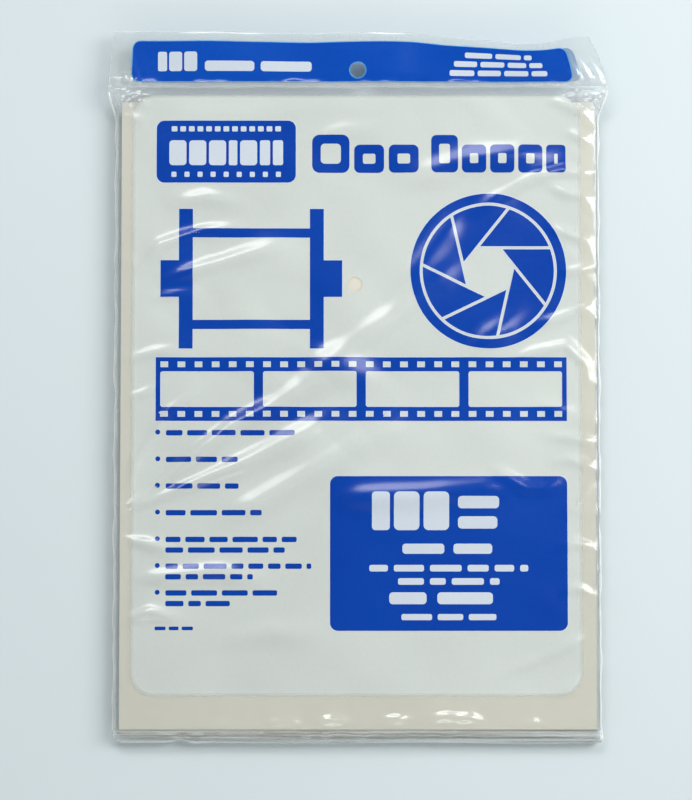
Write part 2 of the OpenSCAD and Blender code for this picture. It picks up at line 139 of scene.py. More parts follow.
# Creases of the front film, each a list of points (x, y, rise, half-width) from end to end
CREASES = (
    # creases fan out from a pinch at the left edge
    (
        (-108, -57, 0.8, 1.4), (-97, -50, 1.4, 1.9), (-82, -38, 1.9, 2.6), (-57, -19, 2.4, 4.2),
        (-13, 3, 2.0, 6.0), (16, 14, 0, 8),
    ),
    (
        (-108, -57, 0.8, 1.4), (-95, -53, 1.3, 1.8), (-75, -45, 1.8, 2.8), (-52, -36, 2.6, 4.6),
        (-26, -24, 2.8, 6.4), (8, -4, 0, 8),
    ),
    ((-70, -64, 0, 5), (-46, -54, 2.4, 6.0), (-22, -40, 3.0, 6.8), (-2, -28, 2.4, 6.8), (24, -14, 0, 8)),
    ((-108, -58, 0.6, 1.4), (-100, -34, 1.0, 1.8), (-86, -12, 1.1, 2.4), (-66, 4, 0, 3.4)),
    # long soft swells across the middle
    ((-40, -8, 0, 5), (-12, 12, 2.0, 6.0), (14, 30, 2.2, 6.0), (36, 48, 1.6, 6.0), (50, 60, 0, 6)),
    ((12, 34, 0, 6), (28, 54, 1.8, 5.6), (40, 70, 1.5, 5.6), (50, 86, 0, 6)),
    ((44, 8, 0, 5), (60, 22, 1.9, 5.6), (80, 38, 0, 5)),
    ((10, 88, 0, 6), (42, 100, 1.8, 6.4), (74, 106, 1.6, 6.0), (96, 104, 0, 5)),
    # soft swells at the upper left
    ((-90, 82, 0, 3.6), (-70, 86, 1.5, 3.6), (-46, 83, 0, 4)),
    ((-101, 52, 0.3, 2), (-90, 64, 1.3, 2.6), (-72, 70, 1.6, 3.0), (-42, 73, 0, 4)),
    ((-94, 45, 0, 3), (-76, 52, 1.6, 3.2), (-52, 59, 1.4, 3.8), (-26, 66, 0, 4)),
    ((-98, 39, 0, 3), (-84, 41, 1.2, 3.0), (-68, 43, 0, 3)),
    ((-107, 11, 0.4, 2), (-92, 15, 1.3, 2.8), (-74, 17, 0, 3)),
    ((-108, -7, 0.5, 1.6), (-98, -4, 1.0, 2.2), (-84, 2, 0, 3)),
    ((-30, 108, 0, 4), (-8, 116, 1.1, 4.6), (20, 119, 0, 5)),
    # left edge, lower down
    ((-107, -70, 1.0, 1.7), (-96, -72, 1.9, 2.6), (-80, -76, 0, 3)),
    ((-106, -88, 0, 2.6), (-86, -87, 2.1, 3.8), (-62, -85, 2.2, 4.6), (-34, -90, 0, 5)),
    ((-107, -107, 0.9, 1.8), (-94, -103, 2.0, 2.8), (-76, -107, 0, 3)),
    ((-70, -118, 0, 4), (-40, -112, 1.7, 5.4), (-8, -114, 0, 6)),
    # hooks at the right edge
    ((44, 72, 0, 4), (64, 86, 1.2, 3.4), (80, 95, 1.6, 3.0), (94, 98, 1.7, 2.6), (104, 97, 1.0, 2.0)),
    ((84, 92, 0, 2), (95, 88, 1.4, 2.2), (104, 86, 1.2, 2.0), (107, 80, 0.8, 1.8)),
    ((84, 74, 0, 2.4), (96, 69, 1.5, 2.2), (105, 66, 1.2, 1.9), (107, 60, 0.6, 1.8)),
    ((90, 51, 0, 2), (99, 52, 1.2, 2.4), (107, 54, 0.8, 1.8)),
    ((72, 24, 0, 3), (90, 30, 1.2, 2.8), (106, 36, 0.7, 2.0)),
    ((60, 6, 0, 3), (80, 15, 1.3, 2.8), (95, 18, 1.5, 2.4), (104, 9, 1.0, 2.0), (105, 2, 0.5, 1.8)),
    ((76, -8, 0, 3), (90, -11, 0.9, 2.8), (102, -12, 0, 3)),
    ((80, -23, 0, 2.4), (95, -24, 1.0, 2.2), (107, -26, 0.9, 1.8)),
    ((84, -36, 0, 2.2), (96, -34, 0.9, 2.2), (107, -38, 0.7, 1.8)),
    ((88, -76, 0, 2.4), (98, -72, 1.0, 2.2), (107, -74, 0.8, 1.8)),
    ((90, -96, 0, 2.4), (99, -92, 1.1, 2.2), (107, -96, 0.6, 1.8)),
    # crinkles below the ends of the seam
    ((-105, 133, 0.3, 1.8), (-100, 130.5, 0.9, 1.8), (-94, 128, 0, 2.2)),
    ((-108, 124, 0.4, 1.8), (-102, 122, 0.8, 1.9), (-95, 122, 0, 2.2)),
    ((84, 130, 0, 2.0), (94, 129, 0.9, 2.0), (103, 125, 1.2, 2.0), (108, 120, 0.6, 1.8)),
    ((94, 133, 0, 1.8), (101, 131, 0.8, 1.8), (107, 128, 0.6, 1.8)),
    ((92, 117, 0, 2.0), (101, 114, 1.1, 2.2), (108, 110, 0.6, 1.8)),
    # across the top of the information block
    ((58, -36, 0, 3), (66, -41, 0.9, 3.0), (76, -47, 1.1, 3.0), (86, -47, 0.9, 2.8), (96, -41, 0, 3)),
    ((-16, -52, 0, 5), (4, -51, 2.2, 5.6), (30, -50, 2.4, 5.8), (56, -47, 1.6, 5.0), (76, -47, 0, 4)),
    ((92, -62, 0, 2), (99, -55, 0.7, 2.2), (106, -46, 0.4, 2.0)),
    # bottom right corner
    ((56, -134, 0, 3), (78, -126, 0.8, 3.0), (97, -117, 0.9, 3.0), (106, -112, 0, 3)),
    ((84, -142, 0, 2), (94, -138, 0.8, 2.6), (104, -131, 0, 2)),
    # short rolls along the front's bottom edge
    ((-72, -153.4, 0, 1.7), (-62, -153.2, 1.0, 1.8), (-50, -153.6, 0, 1.7)),
    ((-46, -153.2, 0, 1.7), (-36, -152.8, 1.3, 1.8), (-24, -153.4, 0, 1.7)),
    ((-22, -152.6, 0, 1.8), (-12, -151.8, 1.6, 2.0), (-2, -152.6, 0.4, 1.8), (4, -153.2, 0, 1.7)),
    ((6, -152.4, 0, 1.8), (16, -151.2, 1.5, 2.0), (27, -152.0, 0, 1.8)),
    ((28, -151.4, 0, 1.8), (40, -150.2, 1.8, 2.2), (50, -150.8, 1.4, 2.0), (58, -152.6, 0, 1.8)),
    ((64, -153.2, 0, 1.7), (76, -152.6, 0.9, 1.8), (88, -153.4, 0, 1.7)),
    # under the seam
    ((-100, 127, 0, 2), (-60, 125, 0.3, 3.0), (-10, 127, 0.25, 3.0), (40, 126, 0, 3)),
)

# Outline of the header's top edge, as a share of its full height at each place across
TOP_EDGE = (
    (-114, 1.0), (-60, 0.985), (-20, 0.95), (8, 0.985), (26, 0.965), (42, 0.87), (60, 0.81), (76, 0.73),
    (86, 0.735), (96, 0.79), (104, 0.85), (114, 0.87),
)


def smooth(share):
    """An ease from 0 to 1 with level ends."""
    share = np.clip(share, 0, 1)
    return share * share * (3 - 2 * share)


def ridge(x, y, points):
    """How far a crease along these points lifts the film at the places x, y."""
    lift = np.zeros_like(x)
    for (x0, y0, rise0, width0), (x1, y1, rise1, width1) in zip(points, points[1:]):
        dx, dy = x1 - x0, y1 - y0
        share = np.clip(((x - x0) * dx + (y - y0) * dy) / (dx * dx + dy * dy), 0, 1)
        away = np.hypot(x - x0 - share * dx, y - y0 - share * dy)
        rise = rise0 + (rise1 - rise0) * smooth(share)
        width = width0 + (width1 - width0) * share
        lift = np.maximum(lift, rise * np.exp(-((away / width) ** 2)))
    return lift


def pucker_rows(count, low, high, seed):
    """Puckers along an edge: (place, rise, half-width, reach, slant) of each, spread with a fixed draw."""
    draw = np.random.RandomState(seed)
    step = (high - low) / count
    return [
        (
            low + step * (k + draw.uniform(0.15, 0.85)),
            draw.uniform(0.2, 0.9),
            draw.uniform(1.9, 3.6),
            draw.uniform(4, 12),
            draw.uniform(-0.9, 0.9),
        )
        for k in range(count)
    ]


PUCKERS_LEFT = pucker_rows(16, -150, 118, 3)
PUCKERS_RIGHT = pucker_rows(19, -152, 122, 11)
PUCKERS_FOOT = pucker_rows(22, -104, 104, 5)


def puckers(along, inward, rows):
    """Short wrinkles that start at an edge and fade inward."""
    lift = np.zeros_like(along)
    for place, rise, width, reach, slant in rows:
        bow = place + slant * inward + 0.04 * slant * inward**2
        shape = np.exp(-(((along - bow) / width) ** 2) - (np.maximum(inward, 0) / reach) ** 2)
        lift += rise * shape
    return lift


def film_lift(x, y):
    """How far the front film stands off its flat place, in millimetres, at the places x, y."""
    x, y = np.asarray(x, float), np.asarray(y, float)
    lift = np.zeros_like(x)
    for points in CREASES:
        lift = lift + ridge(x, y, points)
    # low swells between the creases, stronger in some patches than in others
    swell = (
        0.52 * np.sin(x / 7.5 + 1.6 * np.sin(y / 21.0) + 0.6)
        + 0.46 * np.sin(y / 6.6 + x / 19.0 + 1.4 * np.sin(x / 17.0) + 2.1)
        + 0.22 * np.sin((x + 1.7 * y) / 7.3 + 1.3 * np.sin(y / 15.0))
    )
    patch = 0.5 + 0.5 * np.sin(x / 33.0 + 2.2 + np.sin(y / 47.0)) * np.sin(y / 37.0 + 0.8)
    # the film lies smoother on the lower half, more and more from 12 to 62 mm below the middle
    patch = patch * (0.3 + 0.7 * smooth((y + 62) / 50))
    from_side = EDGE_X - np.abs(x)
    from_foot = y - FRONT_FOOT
    from_seal = SEAL_Y - y
    calm = smooth(from_side / CALM_SIDE) * smooth(from_foot / CALM_FOOT) * smooth(from_seal / CALM_SEAL)
    lift = lift + np.maximum((swell + 0.2) * (0.15 + 0.85 * patch**1.5), -0.12) * calm
    lift = lift * (0.4 + 0.6 * smooth(from_side / 5)) * smooth(from_seal / 6)
    left = puckers(y, x + EDGE_X, PUCKERS_LEFT) * PUCKER_LEFT
    right = puckers(y, EDGE_X - x, PUCKERS_RIGHT) * PUCKER_RIGHT
    # the bottom edge puckers less towards its ends
    inner = 0.4 + 0.6 * smooth((80 - np.abs(x + 8)) / 20)
    foot = puckers(x, from_foot, PUCKERS_FOOT) * PUCKER_FOOT * inner
    edge = (left + right) * smooth(from_seal / 5) * smooth((from_foot + 4) / 4)
    return lift + edge + foot * smooth(from_side / 4)


# ---- How the film hangs over the edge of the pages ----


def drape(out, drop, share):
    """A point of the film's profile, share of the way to a rim that is `out` away and `drop` below.

    Returns the way out, the drop and the angle that the film has turned there."""
    reach = np.hypot(out, drop - EDGE_R)
    angle = np.arctan2(drop - EDGE_R, out) + np.arcsin(EDGE_R / reach)
    arc = EDGE_R * angle
    straight = np.hypot(out - EDGE_R * np.sin(angle), drop - EDGE_R + EDGE_R * np.cos(angle))
    way = share * (arc + straight)
    turned = np.minimum(way / EDGE_R, angle)
    rest = np.maximum(way - arc, 0)
    return (
        EDGE_R * np.sin(turned) + rest * np.cos(turned),
        EDGE_R - EDGE_R * np.cos(turned) + rest * np.sin(turned),
        turned,
    )


def rim_out(y, right):
    """How far a side weld stands out from the panel's edge."""
    rise = smooth((y - RISE_Y) / (SEAM_Y - RISE_Y))
    wave = 0.25 * np.sin(y / 6.3 + 2 * right) + 0.18 * np.sin(y / 2.9 + right)
    tight = FLARE - 0.5 - 0.7 * right
    return tight + (BAG_X - EDGE_X - tight) * rise + wave * (1 - rise)


def rim_z(y, right):
    """The height of a side weld."""
    rise = smooth((y - RISE_Y) / (SEAM_Y - RISE_Y))
    wave = 0.35 * np.sin(y / 7.7 + 1.5 * right) * (1 - rise)
    return WELD_Z + (FRONT_Z - WELD_Z) * rise + wave


def fold_shift(x):
    """The bottom fold's own line: a notch near the left and a slow wave."""
    notch = 1.1 * np.exp(-(((x + 80) / 3.2) ** 2)) - 0.5 * np.exp(-(((x + 74) / 5) ** 2))
    return notch + 0.25 * np.sin(x / 17.0)


def round_corner(x, y):
    """Rounds the bag's outline at the two bottom corners."""
    low_y = BACK_FOOT / 2 + FRONT_FOOT / 2 - FOLD_OUT
    high_x = EDGE_X + FLARE
    for side, radius in ((-1, CORNER_R[0]), (1, CORNER_R[1])):
        p = np.clip((side * x - high_x + radius) / radius, 0, None)
        q = np.clip((low_y + radius - y) / radius, 0, None)
        inside = (p > 0) & (q > 0)
        p1 = np.clip(p, 0, 1)
        q1 = np.clip(q, 0, 1)
        x = np.where(inside, side * (high_x - radius + radius * p * np.sqrt(1 - q1 * q1 / 2)), x)
        y = np.where(inside, low_y + radius - radius * q * np.sqrt(1 - p1 * p1 / 2), y)
    return x, y


def lean(z, y, foot):
    """The foot leans with the fanned pages: lower film lies further from the header."""
    share = (FRONT_Z - z) / (FRONT_Z - BACK_Z)
    return (BACK_FOOT - FRONT_FOOT) * share * (1 - smooth((y - foot) / 25))


def lines_between(low, high, cell):
    """The lines of a mesh that fills low to high with cells of about this size."""
    return np.linspace(low, high, round((high - low) / cell) + 1)


PANEL_LINES = (lines_between(-EDGE_X, EDGE_X, CELL), lines_between(FRONT_FOOT, SEAL_Y, CELL))
HEADER_X = BAG_X - 0.3
HEADER_LINES = (lines_between(-HEADER_X, HEADER_X, CELL), lines_between(HEADER_Y, HEADER_TOP_Y, CELL))

# ---- Modelling helpers ----


def deselect():
    """Leaves edit mode and selects nothing, because an operator acts on all that is selected."""
    if bpy.context.object and bpy.context.object.mode != "OBJECT":
        bpy.ops.object.mode_set(mode="OBJECT")
    bpy.ops.object.select_all(action="DESELECT")


def pick(piece):
    """Selects one piece alone and makes it active."""
    deselect()
    piece.select_set(True)
    bpy.context.view_layer.objects.active = piece


def read_points(piece):
    """The places of a mesh's vertices as an array, in millimetres."""
    points = np.empty(len(piece.data.vertices) * 3)
    piece.data.vertices.foreach_get("co", points)
    return points.reshape(-1, 3) / MM


def write_points(piece, points):
    """Moves a mesh's vertices to these places, in millimetres."""
    piece.data.vertices.foreach_set("co", (points * MM).ravel())
    piece.data.update()


def edit_all(piece):
    """Opens one piece in edit mode with all of it selected. deselect() leaves edit mode again."""
    pick(piece)
    bpy.ops.object.mode_set(mode="EDIT")
    bpy.ops.mesh.select_all(action="SELECT")


def new_grid(name, columns, rows):
    """A flat grid with its vertices' column and row numbers."""
    deselect()
    bpy.ops.mesh.primitive_grid_add(x_subdivisions=columns, y_subdivisions=rows, size=2)
    piece = bpy.context.object
    piece.name = piece.data.name = name
    points = read_points(piece) * MM
    column = np.rint((points[:, 0] + 1) / 2 * columns).astype(int)
    row = np.rint((points[:, 1] + 1) / 2 * rows).astype(int)
    return piece, column, row


def select_faces(piece, wanted):
    """Selects the faces for which wanted is true, ready for edit mode."""
    for kind in (piece.data.vertices, piece.data.edges):
        kind.foreach_set("select", np.zeros(len(kind), bool))
    piece.data.polygons.foreach_set("select", wanted)


def face_centres(piece):
    """The middles of a mesh's faces as an array, in millimetres."""
    centres = np.empty(len(piece.data.polygons) * 3)
    piece.data.polygons.foreach_get("center", centres)
    return centres.reshape(-1, 3) / MM


def punch(piece, centre, radius, ply=None):
    """Opens a round hole in a grid that still lies flat: the faces inside go and the rim is drawn to shape.

    ply takes the faces' middles and says which of them can go, where a grid has more plies than one."""
    pick(piece)
    centres = face_centres(piece)
    inside = np.hypot(centres[:, 0] - centre.x, centres[:, 1] - centre.y) < radius
    if ply:
        inside &= ply(centres)
    select_faces(piece, inside)
    bpy.ops.object.mode_set(mode="EDIT")
    bpy.ops.mesh.delete(type="FACE")
    bpy.ops.mesh.select_all(action="DESELECT")
    bpy.ops.mesh.select_non_manifold(extend=False)
    bpy.ops.object.mode_set(mode="OBJECT")
    points = read_points(piece)
    rim = np.empty(len(points), bool)
    piece.data.vertices.foreach_get("select", rim)
    dx, dy = points[:, 0] - centre.x, points[:, 1] - centre.y
    away = np.hypot(dx, dy)
    # the faces that went reach less than one cell past the circle; the sheet's own edge lies farther off
    rim &= away < radius + CELL
    points[rim, 0] = centre.x + dx[rim] / away[rim] * radius
    points[rim, 1] = centre.y + dy[rim] / away[rim] * radius
    write_points(piece, points)
    deselect()


def thicken(piece, thickness):
    """Gives a sheet its thickness, half to each side."""
    pick(piece)
    solid = piece.modifiers.new("thickness", "SOLIDIFY")
    solid.thickness = thickness * MM
    solid.offset = 0
    bpy.ops.object.modifier_apply(modifier=solid.name)


def finish_piece(piece, body, slot, material, *replaced):
    """Shades a piece, gives it its material and puts it on its body."""
    pick(piece)
    bpy.ops.object.shade_smooth_by_angle(angle=math.radians(50))
    piece.data.materials.clear()
    piece.data.materials.append(material)
    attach(piece, body)
    if replaced:
        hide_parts(*replaced)
    if body == "header":
        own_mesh(piece)
    deselect()
    return piece


def slice_along(piece, lines_x, lines_y):
    """Cuts a flat mesh along these lines of the film under it, so that both follow the wrinkles alike."""
    points = read_points(piece)
    pick(piece)
    bpy.ops.object.mode_set(mode="EDIT")
    for axis, lines in enumerate((lines_x, lines_y)):
        low, high = points[:, axis].min(), points[:, axis].max()
        for line in lines[(lines > low + 0.01) & (lines < high - 0.01)]:
            spot = [0.0, 0.0, 0.0]
            across = [0.0, 0.0, 0.0]
            spot[axis] = line * MM
            across[axis] = 1.0
            bpy.ops.mesh.select_all(action="SELECT")
            bpy.ops.mesh.bisect(plane_co=spot, plane_no=across, threshold=1e-7)
    deselect()


def copy_node(node, name):
    """A copy of a CAD node's mesh as a new piece, its triangles joined and its flat faces made whole."""
    piece = bpy.data.objects.new(name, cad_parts[node].data.copy())
    bpy.context.scene.collection.objects.link(piece)
    piece.data.name = name
    piece.data.materials.clear()
    edit_all(piece)
    bpy.ops.mesh.remove_doubles(threshold=0.001 * MM)
    bpy.ops.mesh.dissolve_limited(angle_limit=math.radians(1))
    deselect()
    return piece


def spread(piece, amount):
    """Grows a flat print outwards all round, for the rim of white ink that shows round it."""
    heights = read_points(piece)[:, 2]
    low, high = heights.min(), heights.max()
    edit_all(piece)
    bpy.ops.mesh.normals_make_consistent(inside=False)
    bpy.ops.transform.shrink_fatten(value=amount * MM, use_even_offset=True)
    deselect()
    points = read_points(piece)
    points[:, 2] = np.where(heights > (low + high) / 2, high, low)
    write_points(piece, points)


def new_bar(x, y, width, height, z, roundness=0.5):
    """A flat bar with rounded ends, INK thick, its lower left corner at x, y."""
    deselect()
    bpy.ops.mesh.primitive_cube_add(
        size=1,
        location=((x + width / 2) * MM, (y + height / 2) * MM, (z + INK / 2) * MM),
        scale=(width * MM, height * MM, INK * MM),
    )
    bar = bpy.context.object
    bpy.ops.object.transform_apply(location=True, rotation=True, scale=True)
    for edge in bar.data.edges:
        start, end = (bar.data.vertices[i].co for i in edge.vertices)
        edge.select = abs(start.z - end.z) > 0.5 * INK * MM
    bar.data.polygons.foreach_set("select", np.zeros(len(bar.data.polygons), bool))
    bpy.context.tool_settings.mesh_select_mode = (False, True, False)
    bpy.ops.object.mode_set(mode="EDIT")
    bpy.ops.mesh.bevel(offset=min(width, height) * roundness * 0.98 * MM, segments=5)
    bpy.ops.object.mode_set(mode="OBJECT")
    bpy.context.tool_settings.mesh_select_mode = (True, False, False)
    return bar


def join(name, pieces):
    """Joins pieces into one with this name."""
    deselect()
    for piece in pieces:
        piece.select_set(True)
    bpy.context.view_layer.objects.active = pieces[0]
    if len(pieces) > 1:
        bpy.ops.object.join()
    whole = bpy.context.object
    whole.name = whole.data.name = name
    deselect()
    return whole


def block_row(x, y, width, height, z, widths, heights, gap=0.16):
    """A row of plain blocks. Their widths, their heights and the gap between them are shares."""
    unit = width / (sum(widths) + gap * (len(widths) - 1))
    bars, at = [], x
    for share, tall in zip(widths, heights):
        bars.append(new_bar(at, y, share * unit, height * tall, z, 0.2))
        at += (share + gap) * unit
    return bars


def word_bars(x, y, width, height, z, seed, word=(2.2, 5.2), gap=0.9):
    """A line of plain bars in the rhythm of words, x to x + width."""
    draw = np.random.RandomState(seed)
    bars, at = [], x
    while at < x + width - word[0] * height * 0.4:
        long = min(draw.uniform(*word) * height, x + width - at)
        bars.append(new_bar(at, y, long, height, z, 0.32))
        at += long + gap * height
    return bars


# ---- Materials ----


def linear(hex_colour):
    """An sRGB hex colour as the linear RGBA that Blender takes."""
    parts = [int(hex_colour[i : i + 2], 16) / 255 for i in (1, 3, 5)]
    return (*(c / 12.92 if c <= 0.04045 else ((c + 0.055) / 1.055) ** 2.4 for c in parts), 1.0)


def add(tree, kind, inputs=(), **settings):
    """Adds a shader node with its settings. Each input is set to its value, or linked to it where that is
    a socket or a node, whose first output is taken."""
    made = tree.nodes.new("ShaderNode" + kind)
    for name, value in settings.items():
        setattr(made, name, value)
    for name, value in dict(inputs).items():
        if isinstance(value, bpy.types.Node):
            value = value.outputs[0]
        if isinstance(value, bpy.types.NodeSocket):
            tree.links.new(value, made.inputs[name])
        else:
            made.inputs[name].default_value = value
    return made


def new_material(name):
    """An empty material and its node tree."""
    material = bpy.data.materials.new(name)
    material.use_nodes = True
    material.node_tree.nodes.clear()
    return material, material.node_tree


def calc(tree, operation, *values, clamp=False):
    """A node that reckons with up to three values, sockets or nodes."""
    return add(tree, "Math", enumerate(values), operation=operation, use_clamp=clamp)


def place(tree, scale):
    """Object coordinates, scaled along each axis."""
    coordinates = add(tree, "TexCoord")
    return add(tree, "Mapping", {"Vector": coordinates.outputs["Object"], "Scale": scale})


def span(first, last):
    """Ends of a Map Range node that turns these places, in millimetres, into 0 and 1."""
    return {"From Min": first * MM, "From Max": last * MM}


def noise(tree, scale, detail):
    """Noise with this many specks to the metre along each axis."""
    return add(tree, "TexNoise", {"Vector": place(tree, scale), "Scale": 1.0, "Detail": detail})


def ramp(tree, share, low, high, ends=(0.0, 1.0)):
    """An sRGB hex colour that turns into another as the share passes from one end to the other."""
    made = add(tree, "ValToRGB", {"Fac": share})
    for element, position, colour in zip(made.color_ramp.elements, ends, (low, high)):
        element.position = position
        element.color = linear(colour)
    return made


# Share of light that a face of the film mirrors when it is seen straight on
HEAD_ON = 0.035
# Milkiness that the film has more, where it is gathered along the seam and creased round the bottom fold
SEAM_HAZE = 0.12
FOLD_HAZE = 0.4
# The milkiness grows as the view gets flatter, but no further than at this cosine
FLATTEST = 0.09
# The film is gathered into the seam's ends: more and more between the first two distances from the middle
# of the bag, and less and less between the last two from a line that lies a little below the seam
GATHER_START, GATHER_FULL = 84, 104
GATHER_DROP = 4
GATHER_NEAR, GATHER_FAR = 4, 11


def clear_film(name, tint, haze, roughness, milk_colour="#eef3f4"):
    """Blown low-density polyethylene: to the eye, a clear and faintly milky film with bright creases."""
    material, tree = new_material(name)
    # slow streaks of the blown film, about 12 mm apart, and fine slip-agent mottle under 1 mm
    streaks = noise(tree, (80, 25, 80), 3.0)
    mottle = noise(tree, (1400, 1400, 1400), 2.0)
    gloss = add(tree, "MapRange", {"Value": streaks, "To Min": roughness * 0.7, "To Max": roughness * 1.5})
    grain = add(tree, "Bump", {"Height": mottle, "Strength": 0.05, "Distance": 0.00005})
    # sharp crinkles, about 3 mm apart, where the film is gathered into the ends of the seam
    spot = add(tree, "SeparateXYZ", {0: place(tree, (1, 1, 1))})
    side = calc(tree, "ABSOLUTE", spot.outputs["X"])
    far = add(tree, "MapRange", {"Value": side, **span(GATHER_START, GATHER_FULL)}, clamp=True)
    seam = calc(tree, "SUBTRACT", spot.outputs["Y"], (SEAM_Y - GATHER_DROP) * MM)
    near = calc(tree, "ABSOLUTE", seam)
    near = add(tree, "MapRange", {"Value": near, **span(GATHER_FAR, GATHER_NEAR)}, clamp=True)
    gathered = calc(tree, "MULTIPLY", far, near)
    crinkle = add(tree, "TexVoronoi", {"Vector": place(tree, (330, 420, 200)), "Scale": 1.0})
    height = calc(tree, "MULTIPLY", crinkle.outputs["Distance"], gathered)
    bump = add(tree, "Bump", {"Height": height, "Strength": 0.7, "Distance": 0.001, "Normal": grain})
    body = add(
        tree,
        "BsdfPrincipled",
        {"Base Color": linear("#ffffff"), "Metallic": 1.0, "Roughness": gloss, "Normal": bump},
    )
    through = add(tree, "BsdfTransparent", {"Color": linear(tint)})
    # each face mirrors more at a slant than straight on, alike from both sides
    facing = add(tree, "LayerWeight", {"Blend": 0.5, "Normal": bump})
    slant = calc(tree, "POWER", facing.outputs["Facing"], 5.0)
    mirror = calc(tree, "MULTIPLY_ADD", slant, 1 - HEAD_ON, HEAD_ON)
    clear = add(tree, "MixShader", {0: mirror, 1: through, 2: body})
    milk = add(tree, "BsdfPrincipled", {"Base Color": linear(milk_colour), "Roughness": 0.6})
    cloud = add(tree, "MapRange", {"Value": streaks, "To Min": haze * 0.7, "To Max": haze * 1.3})
    # fine parallel creases round the bottom fold, about 1.4 mm apart
    ends = span(FRONT_FOOT + 0.6, FRONT_FOOT - 1.5)
    foot = add(tree, "MapRange", {"Value": spot.outputs["Y"], **ends}, clamp=True)
    lines = noise(tree, (14, 700, 700), 3.0)
    lines = add(tree, "MapRange", {"Value": lines, "From Min": 0.42, "From Max": 0.68, "To Max": FOLD_HAZE})
    creased = calc(tree, "MULTIPLY", foot, lines)
    creased = calc(tree, "MULTIPLY_ADD", near, SEAM_HAZE, creased)
    cloud = calc(tree, "ADD", cloud, creased)
    # light that crosses the sheet at a slant passes through more of it
    straight = calc(tree, "SUBTRACT", 1.0, facing.outputs["Facing"])
    path = calc(tree, "MAXIMUM", straight, FLATTEST)
    cloud = calc(tree, "DIVIDE", cloud, path, clamp=True)
    film = add(tree, "MixShader", {0: cloud, 1: clear, 2: milk})
    add(tree, "OutputMaterial", {"Surface": film})
    return material


def soft_edge(tree, low, high, radius, soft):
    """A share that falls from 1 to 0 over the last `soft` millimetres inside a rounded rectangle."""
    centre = (low + high) / 2 * MM
    core = (high - low) / 2 * MM - Vector((radius, radius, 0)) * MM
    spot = add(tree, "VectorMath", {0: place(tree, (1, 1, 1)), 1: centre}, operation="SUBTRACT")
    spot = add(tree, "VectorMath", {0: spot, 1: (1, 1, 0)}, operation="MULTIPLY")
    spot = add(tree, "VectorMath", {0: spot}, operation="ABSOLUTE")
    spot = add(tree, "VectorMath", {0: spot, 1: (core.x, core.y, 0)}, operation="SUBTRACT")
    spot = add(tree, "VectorMath", {0: spot, 1: (0, 0, 0)}, operation="MAXIMUM")
    away = add(tree, "VectorMath", {0: spot}, operation="LENGTH")
    ends = span(radius, radius - soft)
    return add(tree, "MapRange", {"Value": away.outputs["Value"], **ends}, clamp=True)


# Share of a thin coat's cover that a ray of lamp light does not meet, so that the pages under it stay lit
LIT_THROUGH = 0.85


def ink(name, colour, worn, opacity=1.0, roughness=0.19):
    """Flexographic ink on film: to the eye, an even coat, faintly mottled and as glossy as the film."""
    material, tree = new_material(name)
    # mottle of the anilox roller, drawn about 1.5 mm wide so that it shows, over a slow drift in the coat
    mottle = noise(tree, (650, 650, 650), 4.0)
    drift = noise(tree, (18, 18, 18), 2.0)
    mixed = calc(tree, "MULTIPLY_ADD", mottle, 0.45, drift)
    tone = ramp(tree, mixed, colour, worn, (0.45, 1.0))
    gloss = add(tree, "MapRange", {"Value": mottle, "To Min": roughness * 0.8, "To Max": roughness * 1.3})
    bump = add(tree, "Bump", {"Height": mottle, "Strength": 0.04, "Distance": 0.00005})
    look = {"Base Color": tone, "Roughness": gloss, "IOR": 1.5, "Normal": bump}
    top = coat = add(tree, "BsdfPrincipled", look)
    if opacity < 1:
        through = add(tree, "BsdfTransparent", {"Color": linear("#ffffff")})
        inside = soft_edge(tree, white_low, white_high, WHITE_R, 2.0)
        cover = calc(tree, "MULTIPLY", inside, opacity)
        shadow = add(tree, "LightPath").outputs["Is Shadow Ray"]
        lit = calc(tree, "MULTIPLY_ADD", shadow, -LIT_THROUGH, 1.0)
        cover = calc(tree, "MULTIPLY", cover, lit)
        top = add(tree, "MixShader", {0: cover, 1: through, 2: coat})
    add(tree, "OutputMaterial", {"Surface": top})
    return material


def stacked_pages():
    """Stacked polyethylene pages: to the eye, milky cream, with fine dark lines along the cut edges."""
    material, tree = new_material("stacked_polyethylene_pages")
    # layers about 0.7 mm apart, coarser than the real 0.1 mm so that they show
    layers = noise(tree, (6, 6, 1500), 3.0)
    drift = noise(tree, (12, 12, 12), 2.0)
    edges = ramp(tree, layers, "#c9c1ae", "#e2dac8", (0.35, 0.62))
    sheet = ramp(tree, drift, "#dcd8ca", "#d3cfbf")
    # faces that look up are the level pages, and the others are the edges of the stack
    normal = add(tree, "NewGeometry")
    up = add(tree, "SeparateXYZ", {0: normal.outputs["True Normal"]})
    level = calc(tree, "GREATER_THAN", up.outputs["Z"], 0.5)
    colour = add(tree, "Mix", {"Factor": level, "A": edges, "B": sheet}, data_type="RGBA")
    look = {"Base Color": colour.outputs["Result"], "Roughness": 0.35, "IOR": 1.5}
    film = add(tree, "BsdfPrincipled", look)
    add(tree, "OutputMaterial", {"Surface": film})
    return material


def painted(name, first, second):
    """A painted board: to the eye, a pale matt ground that drifts from one tone to the other."""
    material, tree = new_material(name)
    grain = noise(tree, (4, 4, 4), 4.0)
    paint = add(tree, "BsdfPrincipled", {"Base Color": ramp(tree, grain, first, second), "Roughness": 0.8})
    add(tree, "OutputMaterial", {"Surface": paint})
    return material


materials = {}


